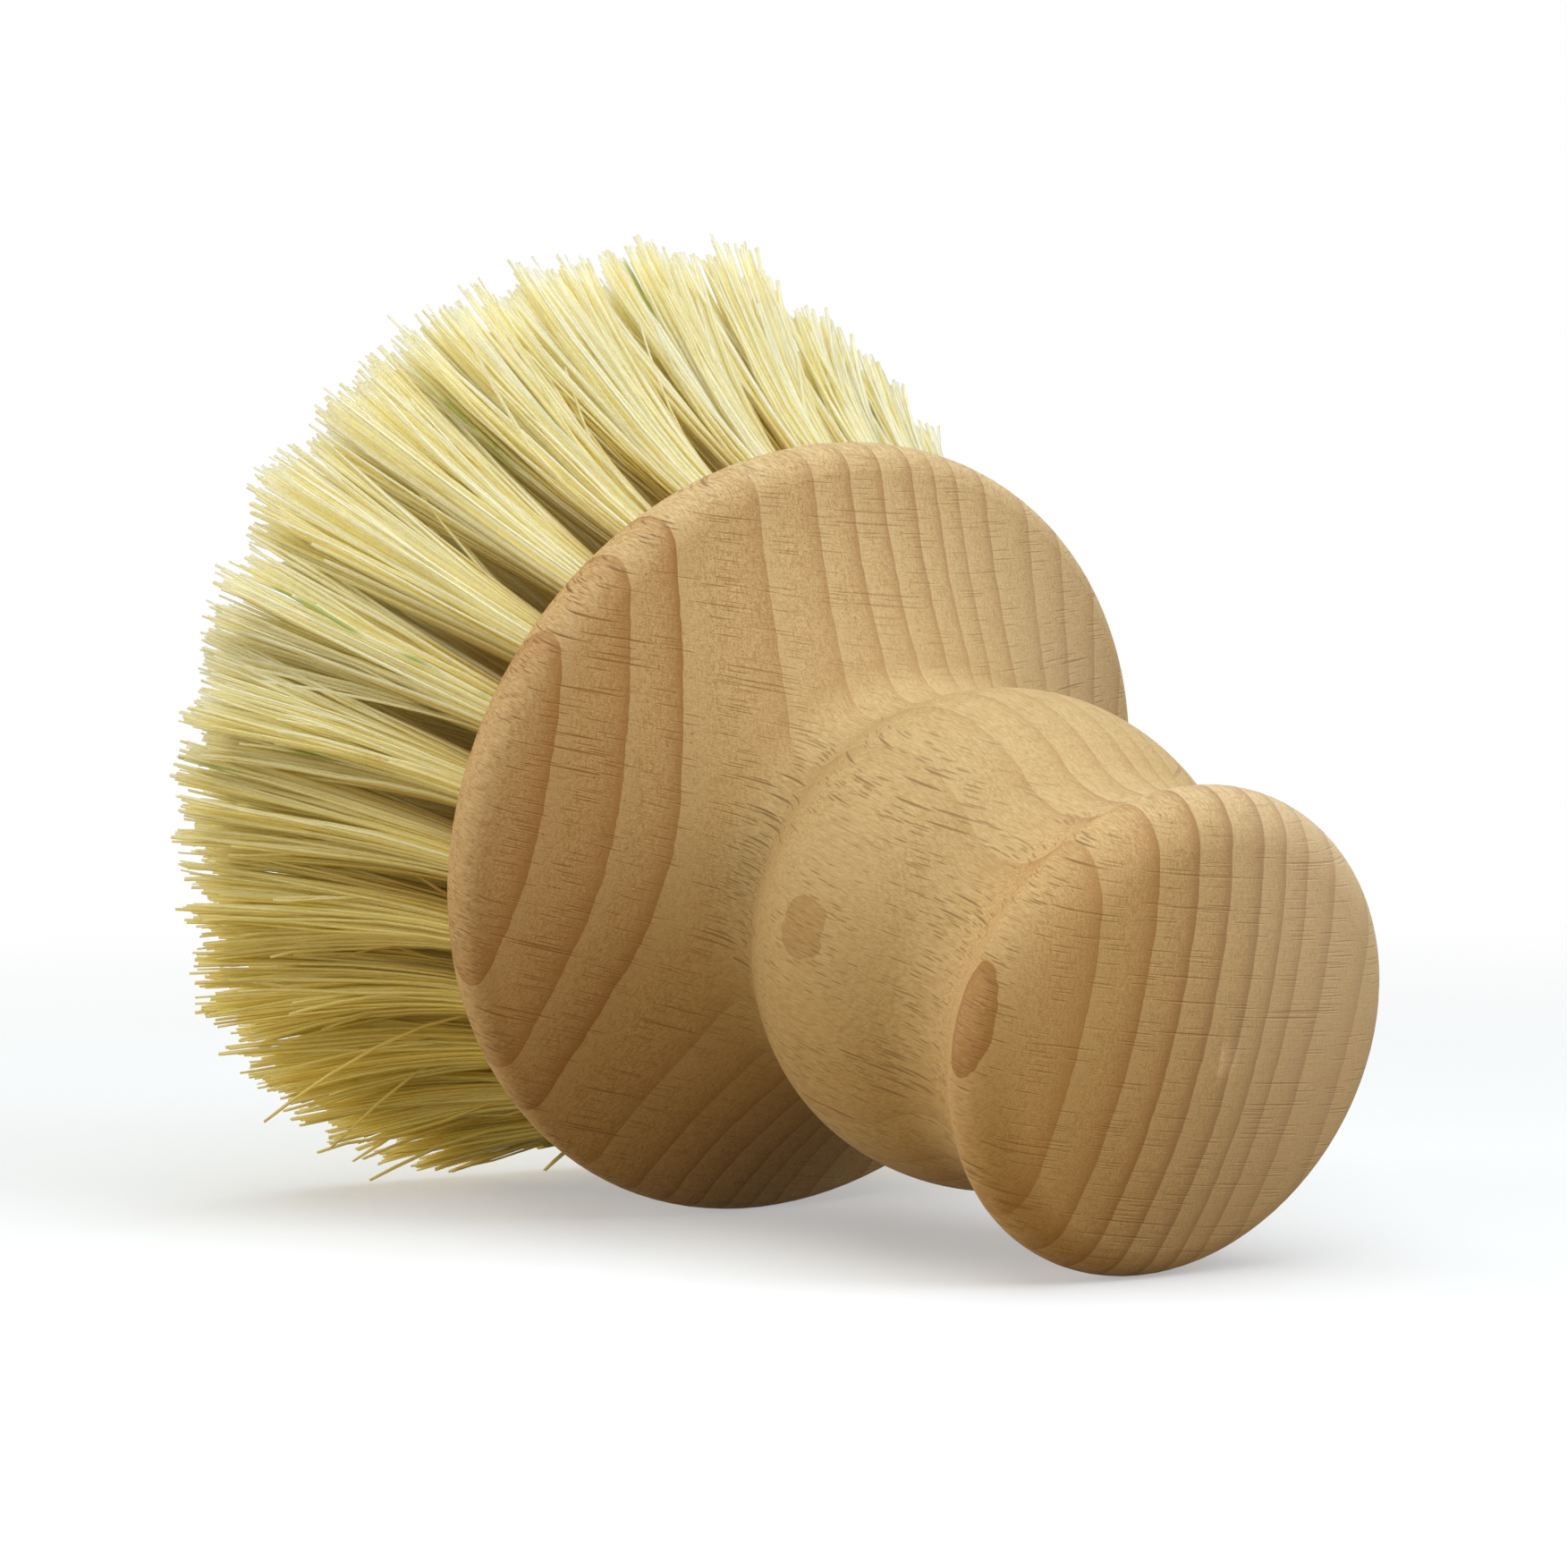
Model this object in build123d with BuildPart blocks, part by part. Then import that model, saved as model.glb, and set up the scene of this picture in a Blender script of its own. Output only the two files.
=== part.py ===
import os
from math import acos, atan2, cos, hypot, pi, radians, sin

from build123d import *

# Palm brush for washing up, lying on its side as it is put down after use.
# One turned piece of beech is disc, grip and knob. Tufts of plant fibre stand in holes drilled in
# the disc's underside, each held down in its hole by a wire staple.
# Millimetres. Z is up and Z = 0 is the surface that it lies on, under the middle of its box.
# Lengths called "along" are measured on the turning axis from the disc's widest circle,
# positive towards the knob.

# Disc
disc_radius = 30.0
disc_underside_depth = 5.0
rim_lower_arc = 6.3
rim_upper_arc = 3.0
underside_edge_ease = 0.6
face_corner_radius = 17.3
face_dish = 0.5

# Grip and knob
cove_arc = 4.5
neck_radius = 15.2
barrel_along = 24.7
barrel_radius = 18.2
barrel_front_arc = 14.4
barrel_rear_arc = 18.6
waist_arc = 9.4
waist_radius = 15.25
knob_along = 44.8
knob_radius = 17.9
knob_end_along = 50.9
knob_dome_arc = 53.2

# Drilled holes
hole_radius = 2.2
hole_depth = 8.0
hole_point_depth = 1.0
outer_hole_tilt = 14.0
outer_ring_radius = 24.6
ring_tuft_counts = (28, 20, 13, 6, 1)
ring_names = ("outer", "second", "third", "fourth", "centre")
first_tuft_pitch_shares = (-0.43, 0.07, 0.3, 0.1, 0.0)

# Tufts
root_clearance = 0.05
tuft_emerge = 0.9
fibre_length = 24.5
outer_splay_angle = 29.0
strand_counts = (7, 6, 5, 5, 5)
strand_ring_radius = 1.32
strand_root_side = 1.05
strand_tip_side = 1.6
strand_seat = 0.5
radial_fan_share = 2.3
sideways_fan_share = 1.9
strand_length_shares = (1.0, 0.965, 1.02, 0.98, 1.03, 0.97, 1.01)
flattened_height = 6.0

# Wire staples
wire_radius = 0.25
staple_width = 2.6
staple_leg = 4.0
staple_bend = 0.6
fold_height = 1.2
staple_clearance = 0.04
leg_channel_play = 0.2

TURN = 360.0
single_ring_total = 2
leg_channel_depth = hole_depth - fold_height + staple_leg + leg_channel_play
staple_notch_width = 2 * (wire_radius + staple_clearance)
os.makedirs("parts", exist_ok=True)
ring_total = len(ring_tuft_counts)
ring_radii = [outer_ring_radius * (ring_total - 1 - i) / (ring_total - 1) for i in range(ring_total)]
ring_tilts = [outer_hole_tilt * radius / outer_ring_radius for radius in ring_radii]
ring_splays = [outer_splay_angle * radius / outer_ring_radius for radius in ring_radii]

# The knob's edge is one arc, tangent to the widest circle and to the domed end.
dome_centre_along = knob_end_along - knob_dome_arc
knob_edge_reach = knob_along - dome_centre_along
knob_edge_arc = (knob_dome_arc**2 - knob_edge_reach**2 - knob_radius**2) / (
    2 * (knob_dome_arc - knob_radius)
)
knob_edge_centre = (knob_along, knob_radius - knob_edge_arc)
knob_edge_end_angle = atan2(knob_edge_centre[1], knob_edge_reach)

# Lying pose: the rims of the disc and the knob both touch the surface.
rim_upper_centre = (0, disc_radius - rim_upper_arc)
rim_drop = rim_upper_centre[1] - knob_edge_centre[1]
lying_tilt = acos((knob_edge_arc - rim_upper_arc) / hypot(rim_drop, knob_along)) - atan2(
    knob_along, rim_drop
)
axis_dir = Vector(cos(lying_tilt), 0, -sin(lying_tilt))
down_dir = Vector(-sin(lying_tilt), 0, -cos(lying_tilt))
side_dir = Vector(0, 1, 0)
rim_centre_height = rim_upper_centre[1] * cos(lying_tilt) + rim_upper_arc


def outward(angle):
    """Unit vector square to the axis; 0 degrees points to the surface, 90 towards +Y."""
    return down_dir * cos(radians(angle)) + side_dir * sin(radians(angle))


def from_rim_centre(along, radius, angle):
    """A point in axis terms, with the disc's widest circle centred over the origin."""
    return Vector(0, 0, rim_centre_height) + axis_dir * along + outward(angle) * radius


def tuft_angles(ring):
    pitch = TURN / ring_tuft_counts[ring]
    return [(i + first_tuft_pitch_shares[ring]) * pitch for i in range(ring_tuft_counts[ring])]


def leaning(ring, angle, lean):
    """Mouth of a hole and, for a lean off the axis, the way out and the way square to it."""
    mouth = from_rim_centre(-disc_underside_depth, ring_radii[ring], angle)
    out = outward(angle) * sin(radians(lean)) - axis_dir * cos(radians(lean))
    across = axis_dir * sin(radians(lean)) + outward(angle) * cos(radians(lean))
    return mouth, out, across


def strand_spots(ring):
    """Where the strands stand in a tuft: one in the middle and the rest round it."""
    around = strand_counts[ring] - 1
    spots = [(0.0, 0.0)]
    for i in range(around):
        turn = 2 * pi * i / around
        spots.append((strand_ring_radius * cos(turn), strand_ring_radius * sin(turn)))
    return spots


def strand_tips(ring, angle):
    """Middle of each strand's end; what would pass through the surface is pressed up to it."""
    mouth, out, fan = leaning(ring, angle, ring_splays[ring])
    sideways = out.cross(fan)
    lowest = (mouth + out * fibre_length + fan * strand_ring_radius * radial_fan_share).Z
    tips = []
    for (x, y), length_share in zip(strand_spots(ring), strand_length_shares):
        tip = mouth + out * fibre_length * length_share
        tip += fan * x * radial_fan_share + sideways * y * sideways_fan_share
        if lowest < 0 and tip.Z < flattened_height:
            pressed = flattened_height * (tip.Z - lowest) / (flattened_height - lowest)
            tip = Vector(tip.X, tip.Y, max(pressed, 0))
        tips.append(tip)
    return tips


# Shift along X that puts the middle of the whole box over the origin.
all_tips = []
for ring in range(ring_total):
    for angle in tuft_angles(ring):
        all_tips += strand_tips(ring, angle)
knob_reach_x = dome_centre_along * cos(lying_tilt) + knob_dome_arc
bristle_reach_x = min(tip.X for tip in all_tips) - strand_tip_side / 2
to_origin = Vector(-(knob_reach_x + bristle_reach_x) / 2, 0, 0)
rim_centre = Vector(0, 0, rim_centre_height) + to_origin
turning_axis = Axis(rim_centre, axis_dir)
profile_plane = Plane(origin=rim_centre, x_dir=axis_dir, z_dir=axis_dir.cross(-down_dir))


def hole_plane(ring, angle):
    """Plane square to a hole at its mouth: local Z leaves the wood, local X points away from the axis."""
    mouth, out, across = leaning(ring, angle, ring_tilts[ring])
    return Plane(origin=mouth + to_origin, x_dir=across, z_dir=out)


def arc_point(centre, radius, angle):
    return (centre[0] + radius * cos(angle), centre[1] + radius * sin(angle))


def profile_arc(centre, radius, start_angle, end_angle):
    """An arc of the turned outline about a centre, from one angle to another, in radians."""
    ThreePointArc(
        arc_point(centre, radius, start_angle),
        arc_point(centre, radius, (start_angle + end_angle) / 2),
        arc_point(centre, radius, end_angle),
    )


# The outline's arcs run into each other without a corner, except where the disc's face ends.
barrel_front_centre = (barrel_along, barrel_radius - barrel_front_arc)
cove_rise = neck_radius + cove_arc - barrel_front_centre[1]
cove_angle = acos(cove_rise / (cove_arc + barrel_front_arc))
neck_along = barrel_along - (cove_arc + barrel_front_arc) * sin(cove_angle)
cove_centre = (neck_along, neck_radius + cove_arc)
cove_start_angle = -pi / 2 - acos((cove_centre[1] - face_corner_radius) / cove_arc)
face_corner = arc_point(cove_centre, cove_arc, cove_start_angle)

rim_lower_centre = (0, disc_radius - rim_lower_arc)
underside_angle = pi - acos(disc_underside_depth / rim_lower_arc)
underside_end = arc_point(rim_lower_centre, rim_lower_arc, underside_angle)
corner_run = (face_corner[0] - rim_upper_centre[0], face_corner[1] - rim_upper_centre[1])
face_start_angle = atan2(corner_run[1], corner_run[0]) + acos(rim_upper_arc / hypot(*corner_run))
face_start = arc_point(rim_upper_centre, rim_upper_arc, face_start_angle)
face_middle = ((face_start[0] + face_corner[0]) / 2, (face_start[1] + face_corner[1]) / 2)
face_bottom = arc_point(face_middle, -face_dish, face_start_angle)

barrel_rear_centre = (barrel_along, barrel_radius - barrel_rear_arc)
waist_rise = waist_radius + waist_arc - barrel_rear_centre[1]
waist_angle = acos(waist_rise / (waist_arc + barrel_rear_arc))
waist_along = barrel_along + (waist_arc + barrel_rear_arc) * sin(waist_angle)
waist_centre = (waist_along, waist_radius + waist_arc)

knob_run = knob_along - waist_along
knob_rise = waist_centre[1] - knob_radius
knob_front_arc = (knob_run**2 + knob_rise**2 - waist_arc**2) / (2 * (waist_arc - knob_rise))
knob_front_centre = (knob_along, knob_radius - knob_front_arc)
knob_front_angle = atan2(waist_centre[1] - knob_front_centre[1], waist_along - knob_along)

# Beech handle: disc, neck, barrel, waist and knob turned from one blank, then drilled from below.
with BuildPart() as handle:
    with BuildSketch(profile_plane) as outline:
        with BuildLine():
            Line((-disc_underside_depth, 0), underside_end)
            profile_arc(rim_lower_centre, rim_lower_arc, underside_angle, pi / 2)
            profile_arc(rim_upper_centre, rim_upper_arc, pi / 2, face_start_angle)
            ThreePointArc(face_start, face_bottom, face_corner)
            profile_arc(cove_centre, cove_arc, cove_start_angle, cove_angle - pi / 2)
            profile_arc(barrel_front_centre, barrel_front_arc, cove_angle + pi / 2, pi / 2)
            profile_arc(barrel_rear_centre, barrel_rear_arc, pi / 2, pi / 2 - waist_angle)
            profile_arc(waist_centre, waist_arc, -pi / 2 - waist_angle, knob_front_angle - pi)
            profile_arc(knob_front_centre, knob_front_arc, knob_front_angle, pi / 2)
            profile_arc(knob_edge_centre, knob_edge_arc, pi / 2, knob_edge_end_angle)
            profile_arc((dome_centre_along, 0), knob_dome_arc, knob_edge_end_angle, 0)
            Line((knob_end_along, 0), (-disc_underside_depth, 0))
        make_face()
    revolve(axis=turning_axis)
    fillet(handle.edges().filter_by(GeomType.CIRCLE).sort_by(turning_axis)[0], underside_edge_ease)
    for ring in range(ring_total):
        hole_planes = [hole_plane(ring, angle) for angle in tuft_angles(ring)]
        with Locations(*[Location(plane) for plane in hole_planes]):
            Hole(hole_radius, hole_depth)
            with Locations((0, staple_width / 2), (0, -staple_width / 2)):
                Hole(wire_radius + staple_clearance, leg_channel_depth)
        drill_points = [plane.offset(-hole_depth - hole_point_depth / 2) for plane in hole_planes]
        with Locations(*[Location(plane) for plane in drill_points]):
            Cone(0, hole_radius, hole_point_depth, mode=Mode.SUBTRACT)
handle.part.label = "handle"
export_step(handle.part, "parts/handle.step")


def make_strand(start, end, fan):
    """One strand of fibres as a four-sided stick that thickens a little towards its end."""
    along = end - start
    with BuildPart() as strand:
        with BuildSketch(Plane(origin=start, x_dir=fan, z_dir=along)):
            Rectangle(strand_root_side, strand_root_side)
        with BuildSketch(Plane(origin=end, x_dir=fan, z_dir=along)):
            Rectangle(strand_tip_side, strand_tip_side)
        loft(ruled=True)
    return strand.part


def make_tuft(ring, angle):
    """A tuft: the folded root that fills the hole, notched for its staple, and the strands on it."""
    plane = hole_plane(ring, angle)
    tips = [tip + to_origin for tip in strand_tips(ring, angle)]
    strands = []
    for (x, y), tip in zip(strand_spots(ring), tips):
        start = plane.from_local_coords((x, y, tuft_emerge - strand_seat))
        strands.append(make_strand(start, tip, plane.x_dir))
    with BuildPart() as tuft:
        with BuildSketch(plane.offset(-hole_depth)):
            Circle(hole_radius - root_clearance)
        extrude(amount=hole_depth + tuft_emerge)
        with BuildSketch(plane.offset(-hole_depth)):
            Rectangle(staple_notch_width, staple_width + staple_notch_width)
        extrude(amount=fold_height + staple_notch_width / 2, mode=Mode.SUBTRACT)
        add(strands)
        if min(tip.Z for tip in tips) < strand_tip_side:
            split(bisect_by=Plane.XY, keep=Keep.TOP)
    return tuft.part


def make_staple(plane):
    """A wire staple astride the fold of its tuft, with both legs in the wood under the hole."""
    bridge = fold_height - hole_depth
    foot = bridge - staple_leg
    half = staple_width / 2
    with BuildPart() as staple:
        with BuildLine(Plane(origin=plane.origin, x_dir=plane.y_dir, z_dir=plane.x_dir)) as wire:
            FilletPolyline((-half, foot), (-half, bridge), (half, bridge), (half, foot), radius=staple_bend)
        with BuildSketch(Plane(origin=wire.line @ 0, z_dir=wire.line % 0)):
            Circle(wire_radius)
        sweep(path=wire.line)
    return staple.part


# Tufts of the two outer rings: those that can be seen between their neighbours, one by one.
for ring in range(single_ring_total):
    for number, angle in enumerate(tuft_angles(ring), start=1):
        tuft = make_tuft(ring, angle)
        tuft.label = f"{ring_names[ring]}_tuft_{number:02d}"
        export_step(tuft, f"parts/{tuft.label}.step")

# Tufts further in, which the outer ones hide: one group of separate tufts for each ring.
for ring in range(single_ring_total, ring_total):
    with BuildPart() as inner_tufts:
        add([make_tuft(ring, angle) for angle in tuft_angles(ring)])
    inner_tufts.part.label = f"{ring_names[ring]}_ring_tufts"
    export_step(inner_tufts.part, f"parts/{inner_tufts.part.label}.step")

# Staples: one group for each ring of holes.
for ring in range(ring_total):
    with BuildPart() as staples:
        add([make_staple(hole_plane(ring, angle)) for angle in tuft_angles(ring)])
    staples.part.label = f"{ring_names[ring]}_ring_staples"
    export_step(staples.part, f"parts/{staples.part.label}.step")
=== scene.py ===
import math

import bpy
import numpy as np
from mathutils import Matrix


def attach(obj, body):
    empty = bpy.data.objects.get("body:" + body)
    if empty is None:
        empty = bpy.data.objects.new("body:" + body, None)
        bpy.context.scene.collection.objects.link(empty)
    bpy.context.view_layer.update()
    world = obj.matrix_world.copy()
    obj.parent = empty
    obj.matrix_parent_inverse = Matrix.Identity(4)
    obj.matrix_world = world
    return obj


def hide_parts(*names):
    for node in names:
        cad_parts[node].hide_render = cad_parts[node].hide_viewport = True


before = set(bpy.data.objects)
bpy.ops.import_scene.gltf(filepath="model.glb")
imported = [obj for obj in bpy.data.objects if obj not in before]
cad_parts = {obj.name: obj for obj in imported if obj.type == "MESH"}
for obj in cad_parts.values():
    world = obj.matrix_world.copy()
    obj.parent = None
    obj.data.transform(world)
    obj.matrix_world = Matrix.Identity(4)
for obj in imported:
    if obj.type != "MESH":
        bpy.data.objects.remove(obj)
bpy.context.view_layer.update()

# Handle: disc, neck, barrel, waist and knob turned from one blank of pale beech, then sanded and
# left bare. The grain runs along the turning axis, so the disc and the knob show growth rings
# and the barrel shows the short brown flecks of beech.
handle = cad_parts["handle"]
lying_tilt = math.radians(15.0665)
rim_centre = np.array((-0.006892, 0.0, 0.029072))
axis_dir = np.array((math.cos(lying_tilt), 0.0, -math.sin(lying_tilt)))
up_dir = np.array((math.sin(lying_tilt), 0.0, math.cos(lying_tilt)))
side_dir = np.array((0.0, 1.0, 0.0))

# Where the dark line of each year crosses the blank, in millimetres from its turning axis
# towards +Y, and the place of the heart of the tree that these years curve round.
year_lines = (-37.0, -33.1, -28.6, -24.5, -20.15, -16.9, -10.3, -5.8, -2.6, 0.2, 3.05, 5.25, 7.4, 10.3)
year_lines += (14.75, 18.6, 22.8, 27.0, 31.5, 37.0)
# How dark the late wood of the year from each of these lines to the next is.
year_depths = (0.8, 0.8, 0.95, 0.85, 1.0, 0.4, 0.55, 0.75, 0.8, 0.85, 0.8, 0.7, 0.8)
year_depths += (0.6, 0.7, 0.7, 0.7, 0.7, 0.7, 0.7)
heart_side = -402.0
heart_up = 41.0
heart_drift = -0.006
left_drift = -0.035


def add_node(tree, kind, values=(), **settings):
    """One shader node, with its settings, and its inputs by name as numbers or as links."""
    made = tree.nodes.new(kind)
    for name, value in settings.items():
        setattr(made, name, value)
    for name, value in dict(values).items():
        if isinstance(value, bpy.types.NodeSocket):
            tree.links.new(value, made.inputs[name])
        else:
            made.inputs[name].default_value = value
    return made


def calc(tree, operation, *values):
    """One step of arithmetic on numbers or on links."""
    made = tree.nodes.new("ShaderNodeMath")
    made.operation = operation
    for socket, value in zip(made.inputs, values):
        if isinstance(value, bpy.types.NodeSocket):
            tree.links.new(value, socket)
        else:
            socket.default_value = value
    return made.outputs[0]


def span(tree, value, low, high, to_low=0.0, to_high=1.0):
    """A number eased from one range into another, and held at its ends."""
    made = add_node(tree, "ShaderNodeMapRange", {"Value": value}, interpolation_type="SMOOTHSTEP")
    for name, number in (("From Min", low), ("From Max", high), ("To Min", to_low), ("To Max", to_high)):
        made.inputs[name].default_value = number
    return made.outputs["Result"]


def blend(tree, share, first, second, how="MIX"):
    """Two colours mixed by a share."""
    made = tree.nodes.new("ShaderNodeMix")
    made.data_type = "RGBA"
    made.blend_type = how
    for index, value in ((0, share), (6, first), (7, second)):
        if isinstance(value, bpy.types.NodeSocket):
            tree.links.new(value, made.inputs[index])
        else:
            made.inputs[index].default_value = value
    return made.outputs[2]


def stretched(tree, x, y, z, size_x, size_y, size_z):
    """A place in the wood, measured in units of its own along each of the three directions."""
    parts = {}
    for name, value, size in (("X", x, size_x), ("Y", y, size_y), ("Z", z, size_z)):
        parts[name] = calc(tree, "DIVIDE", value, size)
    return add_node(tree, "ShaderNodeCombineXYZ", parts).outputs[0]


def speckle(tree, place, detail=2.0, roughness=0.5):
    """Soft noise from 0 to 1 at a place."""
    values = {"Vector": place, "Scale": 1.0, "Detail": detail, "Roughness": roughness}
    return add_node(tree, "ShaderNodeTexNoise", values).outputs["Fac"]


def new_material(name):
    """A material with an empty node tree, and that tree."""
    made = bpy.data.materials.new(name)
    made.use_nodes = True
    made.node_tree.nodes.clear()
    return made, made.node_tree


def finish_material(tree, shader):
    """Lead the last shader of a material to its output."""
    add_node(tree, "ShaderNodeOutputMaterial", {"Surface": shader.outputs[0]})


beech, wood = new_material("bare beech")
place = add_node(wood, "ShaderNodeTexCoord").outputs["Object"]
from_rim = add_node(wood, "ShaderNodeVectorMath", {0: place, 1: tuple(rim_centre)}, operation="SUBTRACT")
in_mm = add_node(wood, "ShaderNodeVectorMath", {0: from_rim.outputs[0], "Scale": 1000.0}, operation="SCALE")


def measured_along(direction):
    """Millimetres from the middle of the rim along a direction."""
    values = {0: in_mm.outputs[0], 1: tuple(direction)}
    return add_node(wood, "ShaderNodeVectorMath", values, operation="DOT_PRODUCT").outputs["Value"]


along = measured_along(axis_dir)
side = measured_along(side_dir)
up = measured_along(up_dir)

# Growth rings: the distance from the heart of the tree, with the waver of real growth.
waver = speckle(wood, stretched(wood, side, up, along, 13.0, 13.0, 45.0), 2.0)
ripple = speckle(wood, stretched(wood, side, up, along, 1.6, 1.6, 9.0), 2.0)
from_heart_side = calc(wood, "SUBTRACT", side, heart_side)
from_heart_up = calc(wood, "SUBTRACT", up, heart_up)
squares = calc(wood, "MULTIPLY", from_heart_side, from_heart_side)
squares = calc(wood, "MULTIPLY_ADD", from_heart_up, from_heart_up, squares)
growth = calc(wood, "ADD", calc(wood, "SQRT", squares), heart_side)
drift = span(wood, side, -17.0, -8.0, left_drift, heart_drift)
growth = calc(wood, "MULTIPLY_ADD", along, drift, growth)
growth = calc(wood, "MULTIPLY_ADD", calc(wood, "SUBTRACT", waver, 0.5), 0.6, growth)
growth = calc(wood, "MULTIPLY_ADD", calc(wood, "SUBTRACT", ripple, 0.5), 0.3, growth)
round_heart = calc(wood, "MULTIPLY", calc(wood, "ARCTAN2", from_heart_up, from_heart_side), -heart_side)


def through_points(tree, value, across, heights):
    """A number led through straight stretches between points; all run from 0 to 1."""
    made = add_node(tree, "ShaderNodeFloatCurve", {"Value": value})
    curve = made.mapping.curves[0]
    while len(curve.points) < len(across):
        curve.points.new(0.5, 0.5)
    for point, x, y in zip(curve.points, across, heights):
        point.location = (x, y)
        point.handle_type = "VECTOR"
    made.mapping.update()
    return made.outputs["Value"]


year_span = year_lines[-1] - year_lines[0]
year_shares = np.arange(len(year_lines)) / (len(year_lines) - 1)
growth_share = calc(wood, "DIVIDE", calc(wood, "SUBTRACT", growth, year_lines[0]), year_span)
line_shares = (np.array(year_lines) - year_lines[0]) / year_span
line_count = len(year_lines) - 1.0
year = calc(wood, "MULTIPLY", through_points(wood, growth_share, line_shares, year_shares), line_count)
season = calc(wood, "FRACT", year)
year_share = calc(wood, "DIVIDE", calc(wood, "FLOOR", year), line_count)
depth = through_points(wood, year_share, year_shares, year_depths)
depth = calc(wood, "MULTIPLY", depth, span(wood, along, 30.0, 42.0, 1.0, 1.9))
autumn = calc(wood, "MULTIPLY", calc(wood, "POWER", season, 2.8), depth)
line = calc(wood, "MULTIPLY", calc(wood, "POWER", season, 6.0), depth)
spring_edge = calc(wood, "MULTIPLY", span(wood, season, 0.0, 0.4, 1.0, 0.0), 0.45)

# End grain shows the pores end on and looks a little deeper; side grain is paler.
geometry = add_node(wood, "ShaderNodeNewGeometry")
values = {0: geometry.outputs["Normal"], 1: tuple(axis_dir)}
facing = add_node(wood, "ShaderNodeVectorMath", values, operation="DOT_PRODUCT").outputs["Value"]
end_grain = span(wood, calc(wood, "ABSOLUTE", facing), 0.2, 0.8)

# Pores, and the rays: thin upright sheets that run out from the heart, long on the end grain
# and short on the side grain.
pores = speckle(wood, stretched(wood, growth, round_heart, along, 0.15, 0.12, 1.1), 3.0, 0.7)
dashes = speckle(wood, stretched(wood, growth, round_heart, along, 0.14, 0.6, 1.4), 2.0)
fibres = speckle(wood, stretched(wood, growth, round_heart, along, 0.32, 0.22, 6.0), 2.0)
hair_rays = speckle(wood, stretched(wood, growth, round_heart, along, 3.2, 0.13, 0.75), 2.0)
blotch = speckle(wood, stretched(wood, side, up, along, 11.0, 14.0, 26.0), 3.0)


def rays(length, thickness, height, share, seed):
    """Mask of scattered rays of about this size, in millimetres; share is how many spots have one."""
    shifted = calc(wood, "ADD", round_heart, seed)
    spot = stretched(wood, growth, shifted, along, length * 1.7, thickness * 1.7, height * 1.7)
    values = {"Vector": spot, "Scale": 1.0, "Randomness": 0.9}
    cells = add_node(wood, "ShaderNodeTexVoronoi", values)
    chosen = add_node(wood, "ShaderNodeSeparateColor", {"Color": cells.outputs["Color"]}).outputs[0]
    kept = calc(wood, "GREATER_THAN", chosen, 1.0 - share)
    body = span(wood, cells.outputs["Distance"], 0.2, 0.42, 1.0, 0.0)
    return calc(wood, "MULTIPLY", kept, body)


broad_rays = rays(6.0, 0.16, 3.0, 0.15, 0.0)
short_rays = rays(2.4, 0.12, 1.2, 0.45, 7.0)
all_rays = calc(wood, "MAXIMUM", broad_rays, calc(wood, "MULTIPLY", short_rays, 0.7))

pale_wood = (0.70, 0.505, 0.245, 1.0)
late_wood = (0.43, 0.195, 0.05, 1.0)
line_wood = (0.26, 0.10, 0.022, 1.0)
ray_brown = (0.12, 0.045, 0.012, 1.0)
ray_orange = (0.28, 0.12, 0.035, 1.0)
pore_brown = (0.30, 0.15, 0.05, 1.0)
pore_rim = (0.85, 0.70, 0.43, 1.0)
spring_wood = (0.75, 0.58, 0.33, 1.0)
blotch_brown = (0.50, 0.34, 0.18, 1.0)
fibre_brown = (0.46, 0.27, 0.11, 1.0)
end_grain_brown = (0.46, 0.26, 0.08, 1.0)
band = calc(wood, "MULTIPLY", autumn, calc(wood, "MULTIPLY_ADD", end_grain, 0.35, 0.55))
colour = blend(wood, band, pale_wood, late_wood)
colour = blend(wood, span(wood, blotch, 0.35, 0.75, 0.0, 0.22), colour, blotch_brown)
colour = blend(wood, span(wood, fibres, 0.35, 0.75, 0.0, 0.28), colour, fibre_brown)
pore_share = calc(wood, "MULTIPLY_ADD", end_grain, 0.25, 0.45)
dark_share = calc(wood, "MULTIPLY", pore_share, span(wood, pores, 0.50, 0.64, 0.0, 1.0))
colour = blend(wood, dark_share, colour, pore_brown)
colour = blend(wood, span(wood, pores, 0.34, 0.50, 0.5, 0.0), colour, pore_rim)
dash_share = calc(wood, "MULTIPLY", pore_share, span(wood, dashes, 0.52, 0.66, 0.0, 0.6))
colour = blend(wood, dash_share, colour, pore_brown)
colour = blend(wood, span(wood, dashes, 0.34, 0.48, 0.2, 0.0), colour, pore_rim)
line_share = calc(wood, "MULTIPLY", line, calc(wood, "MULTIPLY_ADD", end_grain, 0.6, 0.4))
colour = blend(wood, line_share, colour, line_wood)
spring_share = calc(wood, "MULTIPLY", spring_edge, calc(wood, "MULTIPLY_ADD", end_grain, 0.6, 0.4))
colour = blend(wood, spring_share, colour, spring_wood)
colour = blend(wood, span(wood, hair_rays, 0.57, 0.73, 0.0, 0.45), colour, late_wood)
ray_colour = blend(wood, end_grain, ray_brown, ray_orange)
values = {0: geometry.outputs["Normal"], 1: tuple(side_dir)}
sideways_facing = add_node(wood, "ShaderNodeVectorMath", values, operation="DOT_PRODUCT").outputs["Value"]
flat_sawn = span(wood, calc(wood, "ABSOLUTE", sideways_facing), 0.2, 0.6, 0.15, 0.95)
end_strength = calc(wood, "MULTIPLY", end_grain, span(wood, side, -24.0, -8.0, 0.95, 0.5))
ray_strength = calc(wood, "MAXIMUM", flat_sawn, end_strength)
ray_share = calc(wood, "MULTIPLY", all_rays, ray_strength)
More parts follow.
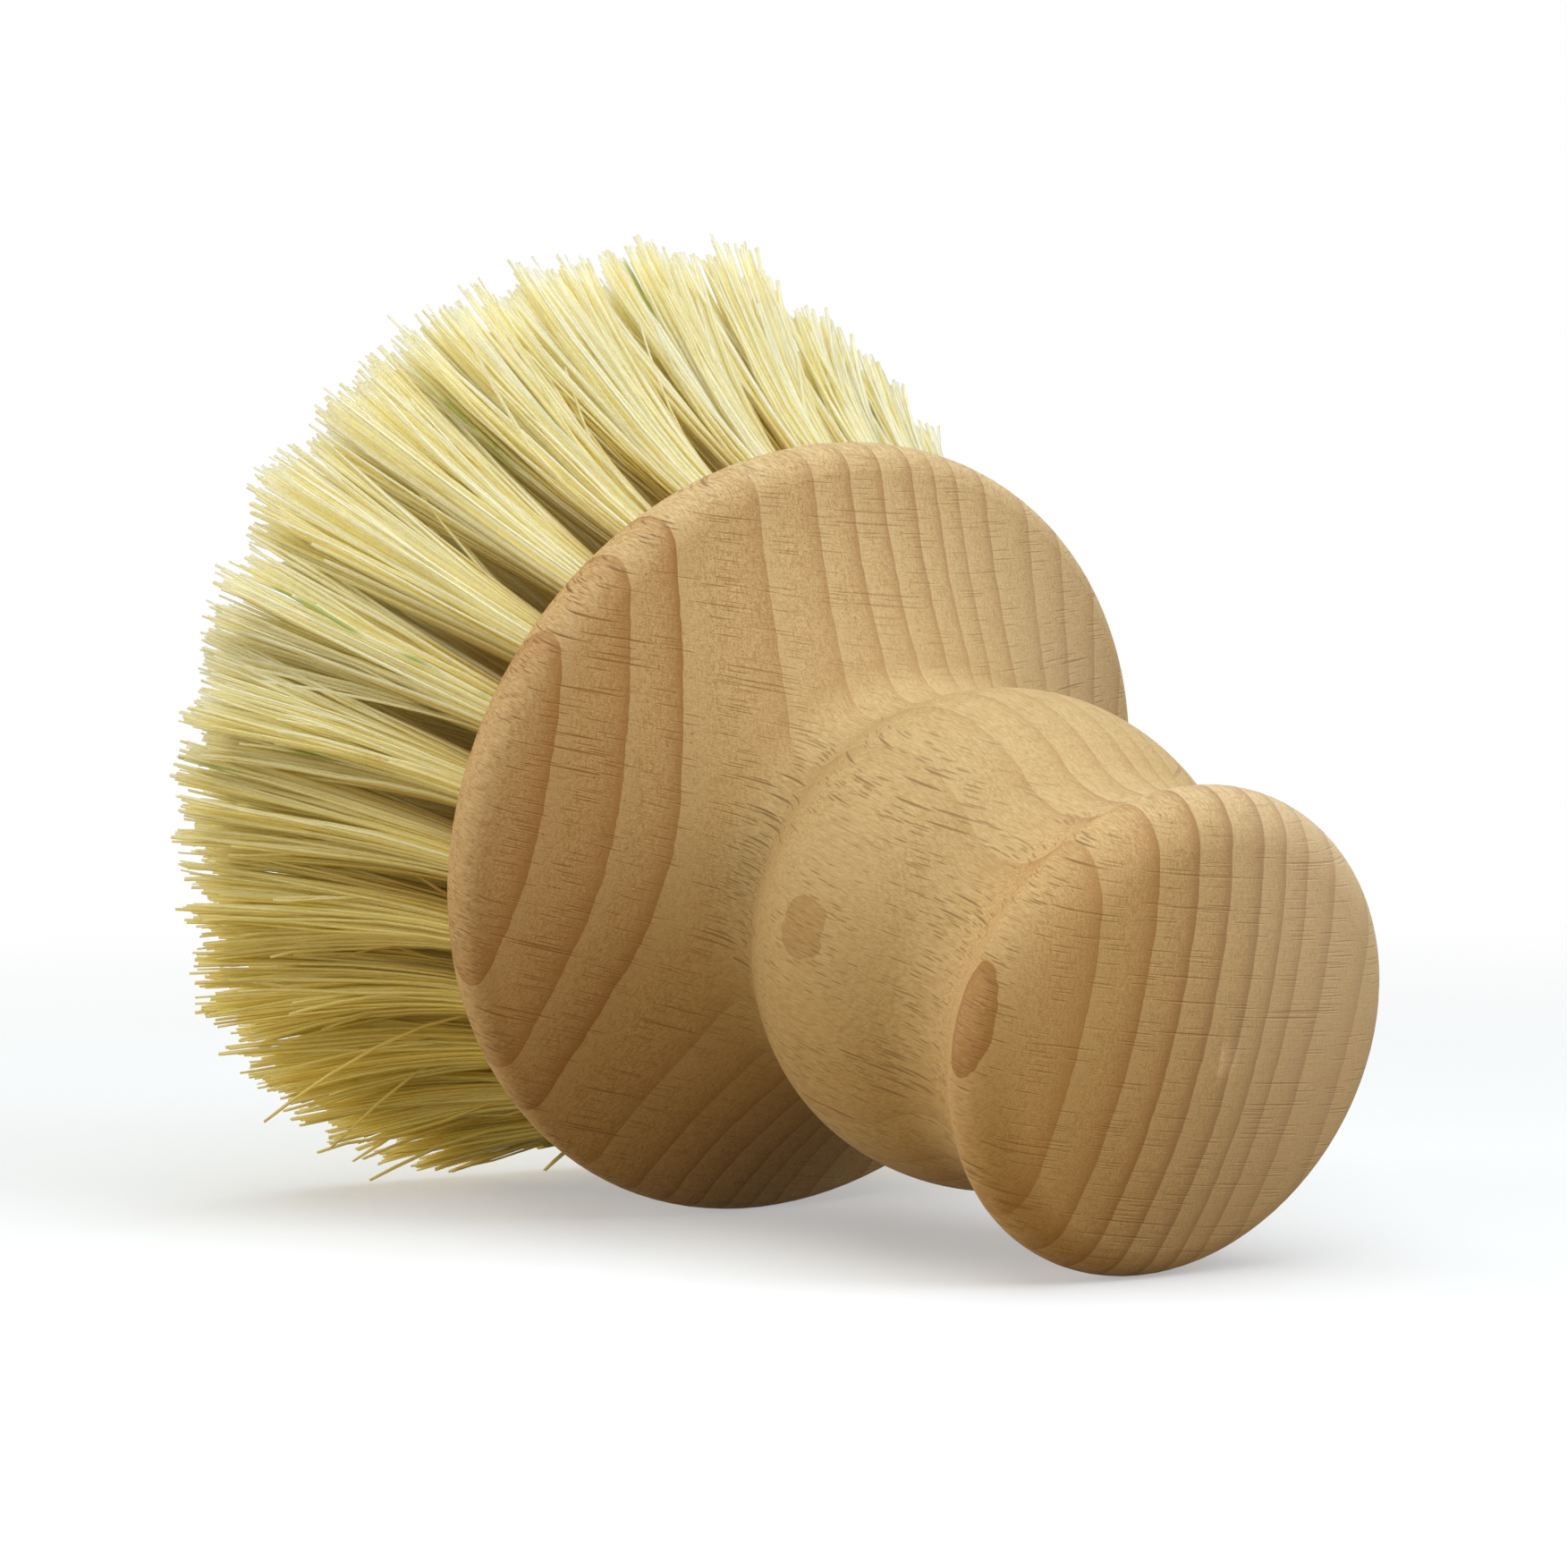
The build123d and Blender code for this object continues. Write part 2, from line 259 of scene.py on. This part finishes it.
colour = blend(wood, ray_share, colour, ray_colour)
specks = calc(wood, "MULTIPLY", rays(0.16, 0.16, 1.0, 0.03, 3.0), span(wood, blotch, 0.5, 0.6))
colour = blend(wood, calc(wood, "MULTIPLY", specks, 0.7), colour, ray_brown)
colour = blend(wood, calc(wood, "MULTIPLY", end_grain, 0.35), colour, end_grain_brown)

# A grey-brown patch, darker in the pores, in the cove between disc and barrel on the -Y side.
mark_place = (14.5, -15.0, 2.0)
mark_grey = (0.21, 0.15, 0.075, 1.0)
mark_parts = [calc(wood, "SUBTRACT", value, at) for value, at in zip((along, side, up), mark_place)]
mark_offset = add_node(wood, "ShaderNodeCombineXYZ", dict(zip("XYZ", mark_parts)))
mark_distance = add_node(wood, "ShaderNodeVectorMath", {0: mark_offset.outputs[0]}, operation="LENGTH")
mark = span(wood, mark_distance.outputs["Value"], 1.0, 5.5, 0.24, 0.0)
mark = calc(wood, "MULTIPLY", mark, span(wood, pores, 0.38, 0.6, 0.25, 1.9))
colour = blend(wood, mark, colour, mark_grey)

# Painted light and shade: the blank is coloured paler towards +Y, as if lit, and browner towards -Y, as if
# shaded, and the knob's +Y side is painted paler and its -Y side browner in the same way. The barrel has a
# tone of its own.
painted_lit_side = (0.80, 0.67, 0.44, 1.0)
painted_shaded_side = (0.45, 0.235, 0.08, 1.0)
barrel_tone = (0.56, 0.38, 0.155, 1.0)
knob_painted_light = (0.90, 0.75, 0.52, 1.0)
knob_painted_shade = (0.58, 0.34, 0.11, 1.0)
colour = blend(wood, span(wood, side, -24.0, 26.0, 0.0, 0.3), colour, painted_lit_side)
colour = blend(wood, span(wood, side, -26.0, -12.0, 0.32, 0.0), colour, painted_shaded_side)
middle = calc(wood, "MULTIPLY", span(wood, along, 5.0, 14.0), span(wood, along, 36.0, 42.0, 0.45, 0.0))
colour = blend(wood, middle, colour, barrel_tone)
# Painted light on the knob's +Y side and painted shade on its -Y side.
knob_light_share = calc(wood, "MULTIPLY", span(wood, along, 34.0, 42.0), span(wood, side, -8.0, 14.0, 0.0, 0.35))
colour = blend(wood, knob_light_share, colour, knob_painted_light)
knob_shade_share = calc(wood, "MULTIPLY", span(wood, along, 34.0, 42.0), span(wood, side, -14.0, 2.0, 0.35, 0.0))
colour = blend(wood, knob_shade_share, colour, knob_painted_shade)

height = calc(wood, "MULTIPLY", calc(wood, "ADD", pores, calc(wood, "MULTIPLY", dashes, 0.5)), -0.5)
height = calc(wood, "MULTIPLY_ADD", all_rays, -0.8, height)
height = calc(wood, "MULTIPLY_ADD", hair_rays, -0.35, height)
relief = add_node(wood, "ShaderNodeBump", {"Strength": 0.45, "Distance": 0.00012, "Height": height})
sheen_spread = span(wood, pores, 0.3, 0.7, 0.6, 0.8)
wood_values = {"Base Color": colour, "Roughness": sheen_spread, "Specular IOR Level": 0.25}
wood_values["Normal"] = relief.outputs[0]
finish_material(wood, add_node(wood, "ShaderNodeBsdfPrincipled", wood_values))
handle.data.materials.clear()
handle.data.materials.append(beech)
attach(handle, "root")

# Tufts: bundles of stiff pale plant fibre, folded in two and set in the 68 drilled holes, 28, 20,
# 13 and 6 of them in rings and one in the middle. The outer holes lean out, so the fibres fan
# past the disc. Those that meet the surface are pressed flat on it.
ring_names = ("outer", "second", "third", "fourth", "centre")
ring_tuft_counts = (28, 20, 13, 6, 1)
ring_fibre_counts = (230, 190, 150, 140, 140)
first_tuft_pitch_shares = (-0.43, 0.07, 0.3, 0.1, 0.0)
outer_ring_radius = 24.6
outer_hole_tilt = 14.0
outer_splay_angle = 29.0
underside_depth = 5.0
hole_fill_radii = (1.85, 2.05, 2.05, 2.05, 2.05)
early_fans = (0.3, 0.6, 0.6, 0.6, 0.6)
root_depth = 6.4
fibre_length = 24.7
straight_reach = 9.0
# Tufts of the outer ring that stand out: millimetres longer, and degrees nearer to the axis.
outer_tuft_changes = {16: (0.5, 0.0), 17: (1.0, 0.0), 18: (1.6, 0.0), 19: (1.1, 0.0), 20: (0.3, 0.0)}
outer_tuft_changes |= {21: (0.7, 0.0), 22: (0.3, 0.0), 23: (-0.3, 0.0), 24: (-0.2, 0.0), 25: (1.2, 1.0)}
outer_tuft_changes |= {26: (1.6, 2.0), 27: (1.3, 3.0), 0: (0.2, 2.5), 1: (-0.5, 2.5)}
outer_tuft_changes |= {14: (-0.7, 1.0), 13: (-2.7, 6.0), 12: (-3.6, 8.0), 11: (-4.2, 10.0)}
outer_tuft_changes |= {10: (-3.5, 10.0), 9: (-1.5, 6.0)}
splay_shares = (1.0, 0.84, 0.56, 0.28, 0.0)
radial_fan_share = 2.0
sideways_fan_shares = (2.85, 2.9, 2.4, 2.3, 2.3)
flattened_height = 6.0
# Painted light: how lit each ring's fibres are drawn at their roots; the inner rings start below 0, deep in
# painted shade.
root_painted_light = (0.42, -0.22, -0.3, -0.3, -0.3)
lowest_fibre = 0.18
tip_lift = 0.3
clump_total = 17
clump_share = 0.6
tuft_lean_spread = 0.7
tuft_turn_spread = 0.5
spot_disorder = 0.05
end_disorder = 0.13
stray_share = 0.02
stray_reach = 1.1
stray_swing = 3.0
tuft_length_spread = 0.012
clump_length_spread = 0.028
fibre_length_spread = 0.02
broken_share = 0.05
broken_lengths = (0.7, 0.93)
tip_dome = 0.11
wave_counts = (0.7, 1.7)
swing_shape = 2.0
swing_size = 0.085
swing_onset = 1.2
reach_limit_start = -43.2
reach_drawn_back = 0.4
tip_lift_start = -18.0
tip_lift_run = 22.0
fibre_sides = 3
fibre_broadness = 1.3
fibre_thinness = 0.8
fibre_half_width = 0.155
half_width_spread = 0.03
half_width_limits = (0.09, 0.22)


def tuft_directions(ring, angle, lean):
    """Mouth of a hole, the way out of it for a lean off the axis, and two ways across."""
    turn = math.radians(angle)
    lean = math.radians(lean)
    outward = -up_dir * math.cos(turn) + side_dir * math.sin(turn)
    ring_radius = outer_ring_radius * (len(ring_names) - 1 - ring) / (len(ring_names) - 1)
    mouth = rim_centre * 1000 - axis_dir * underside_depth + outward * ring_radius
    out = outward * math.sin(lean) - axis_dir * math.cos(lean)
    fan = axis_dir * math.sin(lean) + outward * math.cos(lean)
    return mouth, out, fan, np.cross(out, fan)


def spread_over_hole(total, radius, rng):
    """Places over the hole's round opening, evenly packed with a little disorder."""
    order = np.arange(total) + 0.5
    reach = np.sqrt(order / total)
    turn = order * math.pi * (3 - math.sqrt(5)) + rng.uniform(0, math.tau)
    spots = np.stack((reach * np.cos(turn), reach * np.sin(turn)), 1)
    spots += rng.normal(0, spot_disorder, spots.shape)
    return spots * radius / np.maximum(1.0, np.linalg.norm(spots, axis=1))[:, None]


def fibre_lines(ring, number, rng):
    """The middle line of every fibre of a tuft, from the fold in the hole to the cut tip."""
    total = ring_fibre_counts[ring]
    angle = (number + first_tuft_pitch_shares[ring]) * 360.0 / ring_tuft_counts[ring]
    longer, steeper = outer_tuft_changes.get(number, (0.0, 0.0)) if ring == 0 else (0.0, 0.0)
    share = (len(ring_names) - 1 - ring) / (len(ring_names) - 1)
    splay = outer_splay_angle * splay_shares[ring] + rng.normal(0, tuft_lean_spread) - steeper
    mouth, hole_out, hole_fan, hole_side = tuft_directions(ring, angle, outer_hole_tilt * share)
    turned = angle + rng.normal(0, tuft_turn_spread)
    out, fan, sideways = tuft_directions(ring, turned, splay)[1:]
    spots = spread_over_hole(total, hole_fill_radii[ring], rng)
    clumps = spread_over_hole(clump_total, hole_fill_radii[ring], rng)
    nearest = np.linalg.norm(spots[:, None] - clumps[None], axis=2).argmin(1)
    ends = spots * (1 - clump_share) + clumps[nearest] * clump_share
    ends += rng.normal(0, end_disorder, ends.shape)
    stray = rng.random(total) < stray_share
    ends[stray] += rng.normal(0, stray_reach, (stray.sum(), 2))
    tuft_share = 1 + rng.normal(0, tuft_length_spread)
    clump_shares = rng.normal(0, clump_length_spread, clump_total)[nearest]
    lengths = (fibre_length + longer) * (tuft_share + clump_shares)
    lengths *= 1 + rng.normal(0, fibre_length_spread, total)
    broken = rng.random(total) < broken_share
    lengths[broken] *= rng.uniform(*broken_lengths, broken.sum())
    # The tips of a tuft are trimmed to a gentle dome.
    lengths -= tip_dome * (ends**2).sum(1)
    starts = mouth + hole_fan * spots[:, :1] + hole_side * spots[:, 1:]
    early = spots * early_fans[ring]
    bends = starts + hole_out * straight_reach + hole_fan * early[:, :1] + hole_side * early[:, 1:]
    tips = mouth + out * lengths[:, None]
    tips = tips + fan * ends[:, :1] * radial_fan_share
    tips = tips + sideways * ends[:, 1:] * sideways_fan_shares[ring]
    steps = np.array((0.0, 0.1, 0.25, 0.42, 0.6, 0.78, 0.92, 1.0))[None, :, None]
    lines = starts[:, None] * (1 - steps) ** 2 + bends[:, None] * 2 * steps * (1 - steps)
    lines = lines + tips[:, None] * steps**2
    phase = rng.uniform(0, math.tau, (2, total, 1))
    waves = rng.uniform(*wave_counts, (2, total, 1))
    way_out = steps[:, :, 0]
    swing = rng.gamma(swing_shape, swing_size, (total, 1)) * way_out**swing_onset
    swing[stray] *= stray_swing
    for direction, start, count in zip((fan, sideways), phase, waves):
        lines += direction * (swing * np.sin(start + count * math.tau * way_out))[:, :, None]
    # Tips are drawn back here so that the fibres stay within 3 % of the solid model's box.
    lines[:, :, 0] += reach_drawn_back * np.maximum(reach_limit_start - lines[:, :, 0], 0.0)
    roots = starts - hole_out * root_depth
    # Painted shade: fibres inside a tuft, and the fibres of the inner rings, start deeper in painted shade
    # than those on the outside of a tuft, which are kept pale.
    inside = spots / hole_fill_radii[ring]
    shade = root_painted_light[ring] + 0.35 * inside[:, 0] - 0.36 * inside[:, 1] ** 2
    return np.concatenate((roots[:, None], lines), 1), shade


def press_on_surface(lines, widths):
    """Fibres that would pass through the surface are pressed up to lie on it, one over another."""
    lowest = lines[:, :, 2].min()
    if lowest < lowest_fibre:
        z = lines[:, :, 2]
        way_to_tips = np.clip((tip_lift_start - lines[:, :, 0]) / tip_lift_run, 0.0, 1.0)
        rest = lowest_fibre + tip_lift * way_to_tips
        pressed = rest + (flattened_height - rest) * (z - lowest) / (flattened_height - lowest)
        lines[:, :, 2] = np.where(z < flattened_height, pressed, z)
        lines[:, :, 2] = np.maximum(lines[:, :, 2], widths[:, None])


def fibre_mesh(name, lines, widths, tints, facings, root_shade):
    """A closed three-sided stick along each line, with its tint and its painted shade along it."""
    total, steps = lines.shape[:2]
    heading = np.gradient(lines, axis=1)
    heading /= np.linalg.norm(heading, axis=2)[:, :, None]
    across = np.cross(heading, facings[:, None])
    across /= np.linalg.norm(across, axis=2)[:, :, None]
    over = np.cross(heading, across)
    taper = np.array((0.9, 1.0, 1.0, 1.0, 1.0, 0.98, 0.96, 0.92, 0.75))
    radius = widths[:, None] * taper[None]
    turns = np.arange(fibre_sides) * math.tau / fibre_sides
    broad = across[:, :, None] * np.cos(turns)[:, None] * fibre_broadness
    thin = over[:, :, None] * np.sin(turns)[:, None] * fibre_thinness
    rings = lines[:, :, None] + radius[:, :, None, None] * (broad + thin)
    points = rings.reshape(-1, 3) / 1000
    first = (np.arange(total) * steps * fibre_sides)[:, None, None]
    step = (np.arange(steps - 1) * fibre_sides)[None, :, None]
    corner = np.arange(fibre_sides)[None, None, :]
    following = (corner + 1) % fibre_sides
    base = first + step
    upper = base + fibre_sides
    walls = np.stack((base + corner, base + following, upper + following, upper + corner), -1)
    walls = walls.reshape(-1, 4)
    foot = (first[:, :, 0] + np.arange(fibre_sides)[::-1]).reshape(-1, fibre_sides)
    cap = (first[:, :, 0] + (steps - 1) * fibre_sides + np.arange(fibre_sides)).reshape(-1, fibre_sides)
    corners = np.concatenate((walls.ravel(), foot.ravel(), cap.ravel()))
    sizes = np.concatenate((np.full(len(walls), 4), np.full(len(foot) + len(cap), fibre_sides)))
    mesh = bpy.data.meshes.new(name)
    mesh.vertices.add(len(points))
    mesh.vertices.foreach_set("co", points.astype(np.float32).ravel())
    mesh.loops.add(len(corners))
    mesh.loops.foreach_set("vertex_index", corners.astype(np.int32))
    mesh.polygons.add(len(sizes))
    mesh.polygons.foreach_set("loop_start", (np.cumsum(sizes) - sizes).astype(np.int32))
    # The walls of a fibre are smooth, and its foot and its cut tip flat.
    mesh.polygons.foreach_set("use_smooth", np.arange(len(sizes)) < len(walls))
    mesh.update(calc_edges=True)
    # Painted light share along each fibre, from its root shade up to fully lit at the tip.
    way = root_shade[:, None] + (1 - root_shade[:, None]) * np.linspace(0, 1, steps)
    tint_of_points = np.repeat(tints, steps * fibre_sides)
    way_of_points = np.repeat(way.ravel(), fibre_sides)
    for label, values in (("fibre_tint", tint_of_points), ("fibre_painted_light", way_of_points)):
        attribute = mesh.attributes.new(label, "FLOAT", "POINT")
        attribute.data.foreach_set("value", values.astype(np.float32))
    return mesh


def noise_group():
    """Noise that keeps its size in millimetres on any piece, for fibre and wire alike."""
    group = bpy.data.node_groups.new("noise in millimetres", "ShaderNodeTree")
    for name, value in (("Scale", 1.0), ("Detail", 2.0), ("Roughness", 0.5)):
        socket = group.interface.new_socket(name, in_out="INPUT", socket_type="NodeSocketFloat")
        socket.default_value = value
    for name, kind in (("Value", "NodeSocketFloat"), ("Place", "NodeSocketVector")):
        group.interface.new_socket(name, in_out="OUTPUT", socket_type=kind)
    given = add_node(group, "NodeGroupInput").outputs
    at = add_node(group, "ShaderNodeTexCoord").outputs["Object"]
    at_mm = add_node(group, "ShaderNodeVectorMath", {0: at, "Scale": 1000.0}, operation="SCALE").outputs[0]
    values = {name: given[name] for name in ("Scale", "Detail", "Roughness")}
    made = add_node(group, "ShaderNodeTexNoise", {"Vector": at_mm, **values}).outputs["Fac"]
    add_node(group, "NodeGroupOutput", {"Value": made, "Place": at_mm})
    return group


noise_in_mm = noise_group()


def noise_node(tree, scale, detail, roughness):
    """The shared noise in a material; its outputs are the noise and the place in millimetres."""
    made = tree.nodes.new("ShaderNodeGroup")
    made.node_tree = noise_in_mm
    for name, value in (("Scale", scale), ("Detail", detail), ("Roughness", roughness)):
        made.inputs[name].default_value = value
    return made.outputs


plant_fibre, straw = new_material("pale plant fibre")
tint = add_node(straw, "ShaderNodeAttribute", attribute_name="fibre_tint").outputs["Fac"]
way = add_node(straw, "ShaderNodeAttribute", attribute_name="fibre_painted_light").outputs["Fac"]
fine_noise = noise_node(straw, 1.1, 4.0, 0.65)
streaks = fine_noise["Value"]
patches = noise_node(straw, 0.16, 2.0, 0.5)["Value"]
straw_middle = (0.92, 0.86, 0.53, 1.0)
straw_tip = (0.92, 0.915, 0.79, 1.0)
straw_palest = (0.94, 0.935, 0.84, 1.0)
straw_yellow = (0.88, 0.79, 0.34, 1.0)
streak_brown = (0.80, 0.67, 0.28, 1.0)
low_shade_yellow = (1.0, 0.93, 0.58, 1.0)
painted_shade_gold = (0.66, 0.50, 0.16, 1.0)
leaf_green = (0.42, 0.55, 0.10, 1.0)
# Painted light: the more lit a fibre is drawn, the nearer its colour comes to the pale tip colour.
straw_colour = blend(straw, span(straw, way, 0.5, 1.0), straw_middle, straw_tip)
straw_colour = blend(straw, span(straw, tint, 0.45, 1.0, 0.0, 0.65), straw_colour, straw_palest)
straw_colour = blend(straw, span(straw, tint, 0.0, 0.4, 0.4, 0.0), straw_colour, straw_yellow)
straw_colour = blend(straw, span(straw, streaks, 0.5, 0.8, 0.0, 0.3), straw_colour, streak_brown)
# The photograph is more golden near the surface, so the fibres are coloured yellower there.
# Painted shade: low down near the table the fibres are coloured yellower and a little darker.
straw_height = add_node(straw, "ShaderNodeSeparateXYZ", {0: fine_noise["Place"]}).outputs["Z"]
low_shade_share = span(straw, straw_height, 10.0, 48.0, 1.0, 0.0)
straw_colour = blend(straw, low_shade_share, straw_colour, low_shade_yellow, "MULTIPLY")
# Painted shade: golden brown towards the roots and deep in the crown, where the fibres shade one another.
deep_shade_share = span(straw, way, 0.2, 0.85, 1.0, 0.0)
painted_shade_share = calc(straw, "MULTIPLY_ADD", span(straw, tint, 0.3, 1.0), -0.2, deep_shade_share)
straw_colour = blend(straw, painted_shade_share, straw_colour, painted_shade_gold)
few_fibres = calc(straw, "GREATER_THAN", tint, 0.988)
green_share = calc(straw, "MULTIPLY", few_fibres, span(straw, patches, 0.45, 0.6, 0.0, 0.7))
straw_colour = blend(straw, green_share, straw_colour, leaf_green)
relief_values = {"Strength": 0.25, "Distance": 0.00005, "Height": streaks}
straw_relief = add_node(straw, "ShaderNodeBump", relief_values)
straw_roughness = span(straw, streaks, 0.3, 0.7, 0.38, 0.58)
straw_values = {"Base Color": straw_colour, "Roughness": straw_roughness, "Specular IOR Level": 0.15}
straw_values["Normal"] = straw_relief.outputs[0]
straw_surface = add_node(straw, "ShaderNodeBsdfPrincipled", straw_values)
straw_glow = add_node(straw, "ShaderNodeBsdfTranslucent", {"Color": straw_colour})
mix_values = {0: 0.4, 1: straw_surface.outputs[0], 2: straw_glow.outputs[0]}
straw_mix = add_node(straw, "ShaderNodeMixShader", mix_values)
# Part of the light passes a fibre, so that the gaps among the tufts don't go black.
let_through = add_node(straw, "ShaderNodeBsdfTransparent", {"Color": (1.0, 0.95, 0.72, 1.0)})
shadow_ray = add_node(straw, "ShaderNodeLightPath").outputs["Is Shadow Ray"]
thin_share = calc(straw, "MULTIPLY", shadow_ray, 0.92)
thin_values = {0: thin_share, 1: straw_mix.outputs[0], 2: let_through.outputs[0]}
finish_material(straw, add_node(straw, "ShaderNodeMixShader", thin_values))


def set_tufts(name, ring, numbers):
    """One piece for these tufts of a ring, in place of the CAD node of that name."""
    pieces = []
    for number in numbers:
        rng = np.random.default_rng(1000 * ring + number)
        lines, shade = fibre_lines(ring, number, rng)
        widths = rng.normal(fibre_half_width, half_width_spread, len(lines))
        widths = np.clip(widths, *half_width_limits)
        press_on_surface(lines, widths)
        tints = rng.random(len(lines))
        facings = rng.normal(0, 1, (len(lines), 3))
        pieces.append((lines, widths, tints, facings, shade))
    parts = [np.concatenate(part) for part in zip(*pieces)]
    piece = bpy.data.objects.new(f"{name}_fibres", fibre_mesh(f"{name}_fibres", *parts))
    bpy.context.scene.collection.objects.link(piece)
    piece.data.materials.append(plant_fibre)
    piece.visible_shadow = ring == 0
    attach(piece, "root")
    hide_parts(name)


for number in range(ring_tuft_counts[0]):
    set_tufts(f"outer_tuft_{number + 1:02d}", 0, [number])
for number in range(ring_tuft_counts[1]):
    set_tufts(f"second_tuft_{number + 1:02d}", 1, [number])
for ring in (2, 3, 4):
    set_tufts(f"{ring_names[ring]}_ring_tufts", ring, range(ring_tuft_counts[ring]))

# Staples: bent steel wire astride the fold of each tuft, driven into the wood under its hole.
staple_wire, wire = new_material("drawn steel wire")
scratches = noise_node(wire, 6.0, 4.0, 0.5)["Value"]
dull_steel = (0.52, 0.51, 0.49, 1.0)
bright_steel = (0.68, 0.67, 0.65, 1.0)
wire_colour = blend(wire, span(wire, scratches, 0.35, 0.7), dull_steel, bright_steel)
wire_relief = add_node(wire, "ShaderNodeBump", {"Strength": 0.2, "Distance": 0.00002, "Height": scratches})
wire_values = {"Base Color": wire_colour, "Metallic": 1.0, "Normal": wire_relief.outputs[0]}
wire_values["Roughness"] = span(wire, scratches, 0.3, 0.7, 0.28, 0.42)
finish_material(wire, add_node(wire, "ShaderNodeBsdfPrincipled", wire_values))
for name in ring_names:
    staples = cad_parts[f"{name}_ring_staples"]
    staples.data.materials.clear()
    staples.data.materials.append(staple_wire)
    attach(staples, "root")

# Surface: a plain white table that keeps the brush's soft shadow and fades to white round it.
floor_mesh = bpy.data.meshes.new("white_table")
reach = 3
corners = [(-reach, -reach, 0), (reach, -reach, 0), (reach, reach, 0), (-reach, reach, 0)]
floor_mesh.from_pydata(corners, [], [(0, 1, 2, 3)])
floor = bpy.data.objects.new("white_table", floor_mesh)
bpy.context.scene.collection.objects.link(floor)
table_white, table = new_material("matt white table")
floor_place = add_node(table, "ShaderNodeTexCoord").outputs["Object"]
floor_distance = add_node(table, "ShaderNodeVectorMath", {0: floor_place}, operation="LENGTH").outputs["Value"]
seen = add_node(table, "ShaderNodeLightPath")
shows = calc(table, "MAXIMUM", seen.outputs["Is Camera Ray"], seen.outputs["Is Glossy Ray"])
shows = calc(table, "MAXIMUM", shows, seen.outputs["Is Transmission Ray"])
white = (1.0, 1.0, 1.0, 1.0)
bounce_tone = (0.32, 0.21, 0.06, 1.0)
seen_tone = (0.61, 0.635, 0.67, 1.0)
paper_colour = blend(table, shows, bounce_tone, seen_tone)
paper = add_node(table, "ShaderNodeBsdfDiffuse", {"Color": paper_colour})
lift_strength = calc(table, "MULTIPLY", shows, 0.38)
lift = add_node(table, "ShaderNodeEmission", {"Color": white, "Strength": lift_strength})
near_table = add_node(table, "ShaderNodeAddShader", {0: paper.outputs[0], 1: lift.outputs[0]})
far_table = add_node(table, "ShaderNodeEmission", {"Color": white, "Strength": shows})
fade = calc(table, "MULTIPLY", span(table, floor_distance, 0.09, 0.3), shows)
table_values = {0: fade, 1: near_table.outputs[0], 2: far_table.outputs[0]}
finish_material(table, add_node(table, "ShaderNodeMixShader", table_values))
floor_mesh.materials.append(table_white)

# Studio: a dim warm sky for light, white where it is seen, and four soft boxes round the table.
world = bpy.data.worlds.new("white studio")
bpy.context.scene.world = world
world.use_nodes = True
world.node_tree.nodes.clear()
studio = world.node_tree
looked_at = add_node(studio, "ShaderNodeLightPath")
shown = calc(studio, "MAXIMUM", looked_at.outputs["Is Camera Ray"], looked_at.outputs["Is Glossy Ray"])
shown = calc(studio, "MAXIMUM", shown, looked_at.outputs["Is Transmission Ray"])
dim_sky = add_node(studio, "ShaderNodeBackground", {"Color": (1.0, 0.93, 0.78, 1.0), "Strength": 0.09})
white_sky = add_node(studio, "ShaderNodeBackground", {"Color": white, "Strength": 1.0})
sky = add_node(studio, "ShaderNodeMixShader", {0: shown, 1: dim_sky.outputs[0], 2: white_sky.outputs[0]})
add_node(studio, "ShaderNodeOutputWorld", {"Surface": sky.outputs[0]})


def placed(right, top, back, place):
    """Matrix that sets an object at a place with its three axes along these directions."""
    rows = [[float(column[row]) for column in (right, top, back, place)] for row in range(3)]
    return Matrix(rows + [[0.0, 0.0, 0.0, 1.0]])


def soft_light(name, place, aim, size, watts, colour):
    """A square soft box at a place, turned to face a point."""
    data = bpy.data.lights.new(name, "AREA")
    data.size = size
    data.energy = watts
    data.color = colour
    lamp = bpy.data.objects.new(name, data)
    bpy.context.scene.collection.objects.link(lamp)
    away = np.array(place) - np.array(aim)
    away /= np.linalg.norm(away)
    right = np.cross((0.0, 0.0, 1.0), away)
    right /= np.linalg.norm(right)
    top = np.cross(away, right)
    lamp.matrix_world = placed(right, top, away, place)


soft_light("overhead_box", (0.20, -0.07, 0.60), (0.02, 0.0, 0.0), 0.8, 4.4, (0.96, 1.0, 1.0))
soft_light("right_box", (0.56, 0.26, 0.40), (0.0, 0.0, 0.03), 0.4, 1.5, (1.0, 1.0, 1.0))
soft_light("front_box", (0.32, -0.52, 0.12), (0.0, 0.0, 0.03), 0.35, 0.65, (1.0, 0.93, 0.80))
soft_light("left_box", (-0.52, -0.42, 0.15), (-0.02, 0.0, 0.03), 0.4, 2.3, (1.0, 0.94, 0.79))

# Camera: level with the brush and a little above it, about 47 cm off.
camera_data = bpy.data.cameras.new("camera")
camera_data.sensor_fit = "HORIZONTAL"
camera_data.sensor_width = 36.0
camera_data.lens = 143.84
camera = bpy.data.objects.new("camera", camera_data)
bpy.context.scene.collection.objects.link(camera)
camera_forward = np.array((-0.81174, 0.58123, -0.05695))
camera_right = np.array((0.58217, 0.81307, 0.0002))
camera_up = np.cross(camera_right, camera_forward)
camera_place = rim_centre + np.array((0.38018, -0.27390, 0.03030))
camera.matrix_world = placed(camera_right, camera_up, -camera_forward, camera_place)
bpy.context.scene.camera = camera
bpy.context.scene.view_settings.view_transform = "Standard"
